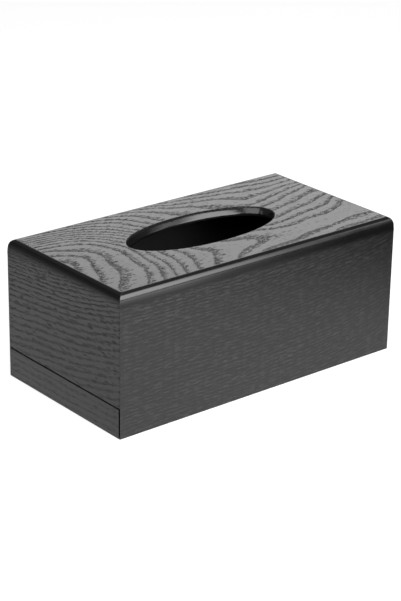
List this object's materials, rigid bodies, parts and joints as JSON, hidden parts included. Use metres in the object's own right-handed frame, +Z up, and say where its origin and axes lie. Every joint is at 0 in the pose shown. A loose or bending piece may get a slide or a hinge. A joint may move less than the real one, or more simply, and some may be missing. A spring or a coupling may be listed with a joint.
{
  "type": "tissue box with drawer",
  "caption": "Rectangular mitred box of black ash veneered boards with rounded top edges, an oval tissue mouth in the top and a shallow drawer that slides out of one end at the foot.",
  "frame": {"origin": "middle of the box's foot, on the surface that it stands on, with the drawer closed", "axes": "+Z up, +X along the box away from the drawer's front, +Y across the box"},
  "size_m": [0.26, 0.136, 0.1085],
  "materials": {
    "ash_veneer": "open-pored ash veneer, stained black, satin lacquer",
    "board_core": "fibreboard edges, painted smooth satin black",
    "drawer_lining_wood": "thin board, painted matt black"
  },
  "bodies": {
    "case": {"top_board": "board_core", "front_board": "board_core", "back_board": "board_core", "closed_end_board": "board_core", "drawer_end_board": "board_core", "top_veneer": "ash_veneer", "front_veneer": "ash_veneer", "back_veneer": "ash_veneer", "closed_end_veneer": "ash_veneer", "drawer_end_veneer": "ash_veneer"},
    "drawer": {"drawer_front_board": "board_core", "drawer_front_veneer": "ash_veneer", "drawer_floor": "drawer_lining_wood", "drawer_near_wall": "drawer_lining_wood", "drawer_far_wall": "drawer_lining_wood", "drawer_back_wall": "drawer_lining_wood"}
  },
  "joints": [
    {"name": "drawer_slide", "type": "slide", "parent": "case", "child": "drawer", "axis": [-1, 0, 0], "range_m": [0, 0.225]}
  ]
}
